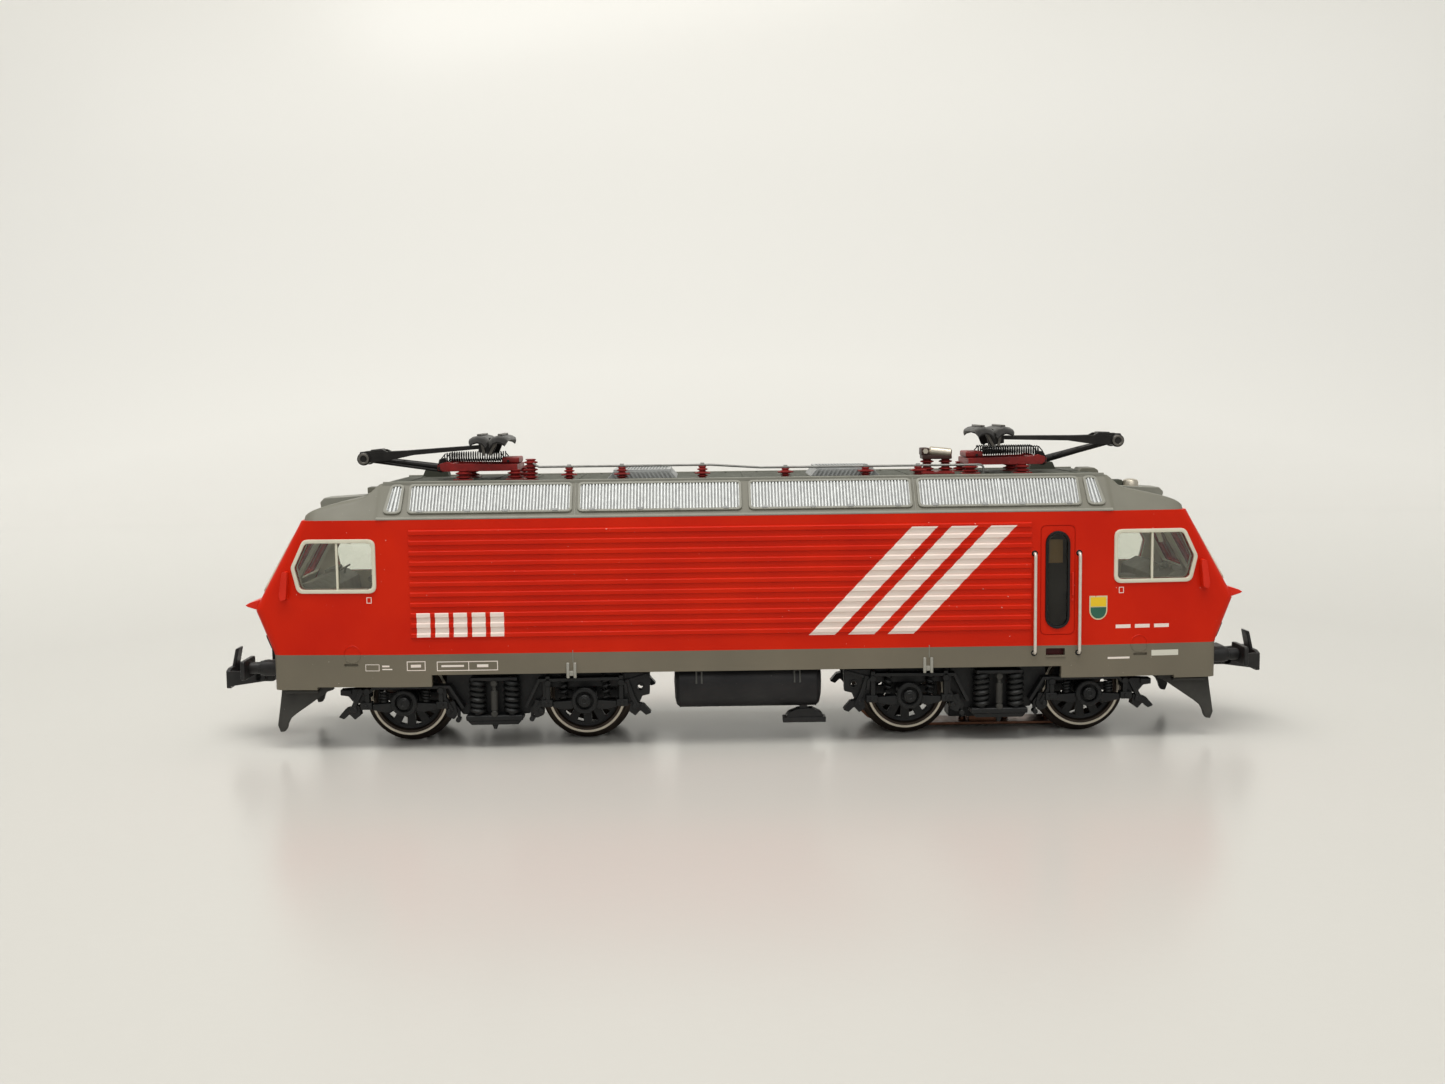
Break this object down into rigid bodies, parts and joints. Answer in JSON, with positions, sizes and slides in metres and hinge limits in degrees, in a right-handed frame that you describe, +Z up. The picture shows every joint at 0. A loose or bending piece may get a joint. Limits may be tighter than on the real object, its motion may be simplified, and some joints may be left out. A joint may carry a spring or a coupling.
{
  "type": "model electric locomotive",
  "caption": "H0 model electric locomotive: ribbed red body, grey louvred roof, folding pantographs, swivelling bogies, hook-and-bail couplers and a centre-rail slider.",
  "frame": {"origin": "midway between the two bogie pivots on the centre line, at the lowest point of the wheel flanges (1.2 mm below the rail head)", "axes": "+X along the locomotive towards the trailing-bogie end, +Y across it towards the far side, +Z up"},
  "size_m": [0.1922, 0.036, 0.0563],
  "materials": {
    "red_paint": "semi-gloss red enamel",
    "grey_paint": "satin warm grey enamel",
    "black_plastic": "matt black moulding",
    "cast_metal": "as cast",
    "bright_steel": "turned, bright",
    "blackened_steel": "chemically blackened",
    "red_plastic": "dark red moulding",
    "clear_plastic": "clear polystyrene",
    "grey_plastic": "matt grey moulding",
    "green_board": "solder-resist green",
    "copper_alloy": "bare copper alloy",
    "rubber": "matt",
    "nylon": "natural nylon"
  },
  "bodies": {
    "chassis": {"chassis_frame": "cast_metal", "body_shell": "red_paint", "roof_shell": "grey_paint", "cab_glazing_left": "clear_plastic", "cab_glazing_right": "clear_plastic", "cab_interior_left": "grey_plastic", "cab_interior_right": "grey_plastic", "light_guide_left": "clear_plastic", "light_guide_right": "clear_plastic", "end_skirt_left": "black_plastic", "end_skirt_right": "black_plastic", "door_window_near": "clear_plastic", "door_window_far": "clear_plastic", "door_handrails_near": "bright_steel", "door_handrails_far": "bright_steel", "circuit_board": "green_board", "underfloor_tank": "black_plastic", "body_screw": "bright_steel", "roof_insulators": "red_plastic", "roof_conductor": "bright_steel", "main_breaker": "red_plastic", "pantograph_left_base": "red_plastic", "pantograph_right_base": "red_plastic", "pantograph_left_springs": "bright_steel", "pantograph_right_springs": "bright_steel"},
    "motor_bogie": {"motor_bogie_frame": "cast_metal", "motor_bogie_sides": "black_plastic", "motor_field_magnet": "blackened_steel", "motor_brush_shield": "nylon"},
    "armature": {"motor_armature": "copper_alloy"},
    "idler_1": {"idler_gear_1": "nylon"},
    "idler_2": {"idler_gear_2": "nylon"},
    "trailing_bogie": {"trailing_bogie_frame": "cast_metal", "trailing_bogie_sides": "black_plastic"},
    "slider": {"slider_carrier": "black_plastic", "slider_shoe": "copper_alloy"},
    "wheelset_1": {"axle_1": "bright_steel", "wheel_1_far": "bright_steel", "wheel_1_near": "bright_steel", "traction_tyre_1": "rubber"},
    "wheelset_2": {"axle_2": "bright_steel", "wheel_2_far": "bright_steel", "wheel_2_near": "bright_steel", "traction_tyre_2": "rubber"},
    "wheelset_3": {"axle_3": "bright_steel", "wheel_3_far": "bright_steel", "wheel_3_near": "bright_steel"},
    "wheelset_4": {"axle_4": "bright_steel", "wheel_4_far": "bright_steel", "wheel_4_near": "bright_steel"},
    "coupler_left": {"coupler_left_drawbar": "black_plastic"},
    "bail_left": {"coupler_left_bail": "black_plastic"},
    "pantograph_left_lower": {"pantograph_left_lower_arm": "blackened_steel"},
    "pantograph_left_upper": {"pantograph_left_upper_arm": "blackened_steel"},
    "pantograph_left_pan": {"pantograph_left_head": "blackened_steel"},
    "coupler_right": {"coupler_right_drawbar": "black_plastic"},
    "bail_right": {"coupler_right_bail": "black_plastic"},
    "pantograph_right_lower": {"pantograph_right_lower_arm": "blackened_steel"},
    "pantograph_right_upper": {"pantograph_right_upper_arm": "blackened_steel"},
    "pantograph_right_pan": {"pantograph_right_head": "blackened_steel"}
  },
  "joints": [
    {"name": "motor_bogie_swivel", "type": "hinge", "parent": "chassis", "child": "motor_bogie", "pos_m": [-0.0452, 0, 0.0332], "axis": [0, 0, 1], "range_deg": [-8, 8]},
    {"name": "trailing_bogie_swivel", "type": "hinge", "parent": "chassis", "child": "trailing_bogie", "pos_m": [0.0452, 0, 0.0332], "axis": [0, 0, 1], "range_deg": [-8, 8]},
    {"name": "wheelset_1_spin", "type": "hinge", "parent": "motor_bogie", "child": "wheelset_1", "pos_m": [-0.0613, 0, 0.00845], "axis": [0, 1, 0], "continuous": true},
    {"name": "wheelset_2_spin", "type": "hinge", "parent": "motor_bogie", "child": "wheelset_2", "pos_m": [-0.0291, 0, 0.00845], "axis": [0, 1, 0], "continuous": true},
    {"name": "wheelset_3_spin", "type": "hinge", "parent": "trailing_bogie", "child": "wheelset_3", "pos_m": [0.0291, 0, 0.00845], "axis": [0, 1, 0], "continuous": true},
    {"name": "wheelset_4_spin", "type": "hinge", "parent": "trailing_bogie", "child": "wheelset_4", "pos_m": [0.0613, 0, 0.00845], "axis": [0, 1, 0], "continuous": true},
    {"name": "armature_spin", "type": "hinge", "parent": "motor_bogie", "child": "armature", "pos_m": [-0.0452, 0, 0.0192], "axis": [0, 1, 0], "continuous": true},
    {"name": "idler_1_spin", "type": "hinge", "parent": "motor_bogie", "child": "idler_1", "pos_m": [-0.05325, 0, 0.0168], "axis": [0, 1, 0], "continuous": true},
    {"name": "idler_2_spin", "type": "hinge", "parent": "motor_bogie", "child": "idler_2", "pos_m": [-0.03715, 0, 0.0168], "axis": [0, 1, 0], "continuous": true},
    {"name": "slider_lift", "type": "slide", "parent": "trailing_bogie", "child": "slider", "axis": [0, 0, 1], "range_m": [0, 0.0014]},
    {"name": "coupler_left_yaw", "type": "hinge", "parent": "chassis", "child": "coupler_left", "pos_m": [-0.074, 0, 0.0116], "axis": [0, 0, 1], "range_deg": [-5, 5]},
    {"name": "coupler_left_bail_lift", "type": "hinge", "parent": "coupler_left", "child": "bail_left", "pos_m": [-0.09, 0, 0.0116], "axis": [0, 1, 0], "range_deg": [0, 25]},
    {"name": "pantograph_left_raise", "type": "hinge", "parent": "chassis", "child": "pantograph_left_lower", "pos_m": [-0.0558, 0, 0.0497], "axis": [0, 1, 0], "range_deg": [0, 45]},
    {"name": "pantograph_left_knee", "type": "hinge", "parent": "pantograph_left_lower", "child": "pantograph_left_upper", "pos_m": [-0.06988, 0, 0.05158], "axis": [0, 1, 0], "range_deg": [-85.5, 0]},
    {"name": "pantograph_left_head_tilt", "type": "hinge", "parent": "pantograph_left_upper", "child": "pantograph_left_pan", "pos_m": [-0.04776, 0, 0.05351], "axis": [0, 1, 0], "range_deg": [0, 40.5]},
    {"name": "coupler_right_yaw", "type": "hinge", "parent": "chassis", "child": "coupler_right", "pos_m": [0.074, 0, 0.0122], "axis": [0, 0, 1], "range_deg": [-5, 5]},
    {"name": "coupler_right_bail_lift", "type": "hinge", "parent": "coupler_right", "child": "bail_right", "pos_m": [0.09, 0, 0.0122], "axis": [0, -1, 0], "range_deg": [0, 25]},
    {"name": "pantograph_right_raise", "type": "hinge", "parent": "chassis", "child": "pantograph_right_lower", "pos_m": [0.0558, 0, 0.0497], "axis": [0, -1, 0], "range_deg": [0, 45]},
    {"name": "pantograph_right_knee", "type": "hinge", "parent": "pantograph_right_lower", "child": "pantograph_right_upper", "pos_m": [0.06955, 0, 0.05323], "axis": [0, -1, 0], "range_deg": [-85.5, 0]},
    {"name": "pantograph_right_head_tilt", "type": "hinge", "parent": "pantograph_right_upper", "child": "pantograph_right_pan", "pos_m": [0.04737, 0, 0.05401], "axis": [0, -1, 0], "range_deg": [0, 40.5]}
  ],
  "couplings": [
    {"joint": "wheelset_2_spin", "follows": "wheelset_1_spin", "ratio": 1},
    {"joint": "armature_spin", "follows": "wheelset_1_spin", "ratio": 2.6},
    {"joint": "idler_1_spin", "follows": "wheelset_1_spin", "ratio": -0.8125},
    {"joint": "idler_2_spin", "follows": "wheelset_1_spin", "ratio": -0.8125},
    {"joint": "pantograph_left_knee", "follows": "pantograph_left_raise", "ratio": -1.9},
    {"joint": "pantograph_left_head_tilt", "follows": "pantograph_left_raise", "ratio": 0.9},
    {"joint": "pantograph_right_knee", "follows": "pantograph_right_raise", "ratio": -1.9},
    {"joint": "pantograph_right_head_tilt", "follows": "pantograph_right_raise", "ratio": 0.9}
  ]
}
